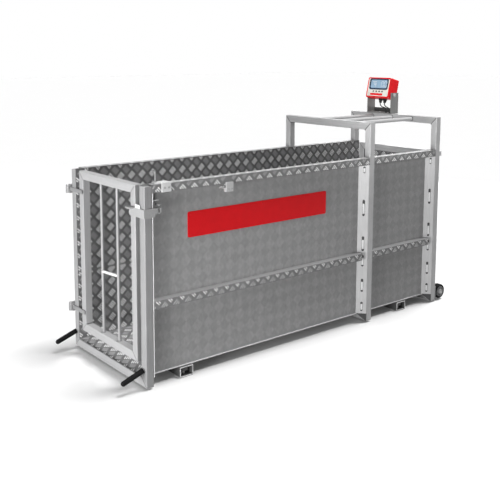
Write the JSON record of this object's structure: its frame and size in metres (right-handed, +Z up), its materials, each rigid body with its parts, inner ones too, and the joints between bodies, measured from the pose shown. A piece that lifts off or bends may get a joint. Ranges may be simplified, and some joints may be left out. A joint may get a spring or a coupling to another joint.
{
  "type": "livestock weighing crate",
  "caption": "Weighing crate for pigs: tread-plate pen on load bars with a barred front door, a solid rear gate, wheels, carrying handles and a tilting red indicator.",
  "frame": {"origin": "on the ground, under the middle of the box around the crate", "axes": "X from the front door to the rear gate, Y from the near side (with the sign) to the far side, Z up"},
  "size_m": [2.2947, 0.731, 1.3535],
  "materials": {
    "frame_metal": "satin",
    "tread_sheet": "matte",
    "bright_steel": "satin",
    "cell_metal": "satin",
    "grip_rubber": "matte",
    "tyre_rubber": "matte",
    "hub_plastic": "matte",
    "red_sign": "satin",
    "bracket_steel": "satin",
    "red_plastic": "gloss",
    "cream_plastic": "matte",
    "display_glass": "gloss",
    "board_plastic": "matte",
    "black_plastic": "matte"
  },
  "bodies": {
    "crate": {"front_posts": "frame_metal", "portal_posts": "frame_metal", "rear_posts": "frame_metal", "top_beams": "frame_metal", "foot_tubes": "frame_metal", "post_caps": "frame_metal", "floor_plate": "tread_sheet", "upper_walls": "tread_sheet", "lower_walls": "tread_sheet", "slotted_plates": "frame_metal", "roof_rails": "frame_metal", "load_bars": "frame_metal", "load_cells": "cell_metal", "load_feet": "bright_steel", "wheel_brackets": "frame_metal", "wheel_axles": "bright_steel", "handle_bars": "frame_metal", "handle_grips": "grip_rubber", "hinge_lugs": "frame_metal", "hinge_pins": "bright_steel", "rod_guides": "frame_metal", "guide_screws": "bright_steel", "lip_clamp": "bright_steel", "clamp_stud": "bright_steel", "clamp_screws": "bright_steel", "bolt_keeper": "frame_metal", "sign_plate": "red_sign", "sign_rivets": "bright_steel", "indicator_bracket": "bracket_steel", "bracket_screws": "bright_steel", "cable_entries": "black_plastic", "leads": "black_plastic"},
    "front_door": {"door_stiles": "frame_metal", "door_rails": "frame_metal", "door_bars": "frame_metal", "door_cross_bar": "bright_steel", "door_hinge_straps": "frame_metal", "latch_strap": "frame_metal"},
    "rear_gate": {"gate_stiles": "frame_metal", "gate_rails": "frame_metal", "gate_panel": "tread_sheet", "gate_hinge_straps": "frame_metal", "bolt_guides": "frame_metal"},
    "gate_bolt_body": {"gate_bolt": "bright_steel"},
    "drop_rod_body": {"drop_rod": "bright_steel"},
    "near_wheel": {"near_wheel_tyre": "tyre_rubber", "near_wheel_hub": "hub_plastic"},
    "far_wheel": {"far_wheel_tyre": "tyre_rubber", "far_wheel_hub": "hub_plastic"},
    "indicator": {"indicator_housing": "red_plastic", "front_panel": "cream_plastic", "display": "display_glass", "circuit_board": "board_plastic", "battery_pack": "black_plastic", "pivot_knobs": "bright_steel", "cable_glands": "black_plastic"},
    "key_1_body": {"key_1": "black_plastic"},
    "key_2_body": {"key_2": "black_plastic"},
    "key_3_body": {"key_3": "black_plastic"},
    "key_4_body": {"key_4": "black_plastic"}
  },
  "joints": [
    {"name": "front_door_swing", "type": "hinge", "parent": "crate", "child": "front_door", "pos_m": [-1.03696, 0.361, 0.5175], "axis": [0, 0, -1], "range_deg": [0, 180]},
    {"name": "rear_gate_swing", "type": "hinge", "parent": "crate", "child": "rear_gate", "pos_m": [1.06004, 0.361, 0.5175], "axis": [0, 0, 1], "range_deg": [0, 180]},
    {"name": "drop_rod_slide", "type": "slide", "parent": "crate", "child": "drop_rod_body", "axis": [0, 0, 1], "range_m": [-0.026, 0]},
    {"name": "gate_bolt_slide", "type": "slide", "parent": "rear_gate", "child": "gate_bolt_body", "axis": [0, -1, 0], "range_m": [0, 0.066]},
    {"name": "near_wheel_spin", "type": "hinge", "parent": "crate", "child": "near_wheel", "pos_m": [1.10304, -0.322, 0.052], "axis": [0, 1, 0], "continuous": true},
    {"name": "far_wheel_spin", "type": "hinge", "parent": "crate", "child": "far_wheel", "pos_m": [1.10304, 0.322, 0.052], "axis": [0, 1, 0], "continuous": true},
    {"name": "indicator_tilt", "type": "hinge", "parent": "crate", "child": "indicator", "pos_m": [1.03504, 0.105, 1.246], "axis": [0, 1, 0], "range_deg": [-25, 25], "deforming": ["leads"]},
    {"name": "key_1_press", "type": "slide", "parent": "indicator", "child": "key_1_body", "axis": [0.9759, 0, -0.2181], "range_m": [0, 0.0012], "stiffness_N_per_m": 400},
    {"name": "key_2_press", "type": "slide", "parent": "indicator", "child": "key_2_body", "axis": [0.9759, 0, -0.2181], "range_m": [0, 0.0012], "stiffness_N_per_m": 400},
    {"name": "key_3_press", "type": "slide", "parent": "indicator", "child": "key_3_body", "axis": [0.9759, 0, -0.2181], "range_m": [0, 0.0012], "stiffness_N_per_m": 400},
    {"name": "key_4_press", "type": "slide", "parent": "indicator", "child": "key_4_body", "axis": [0.9759, 0, -0.2181], "range_m": [0, 0.0012], "stiffness_N_per_m": 400}
  ]
}
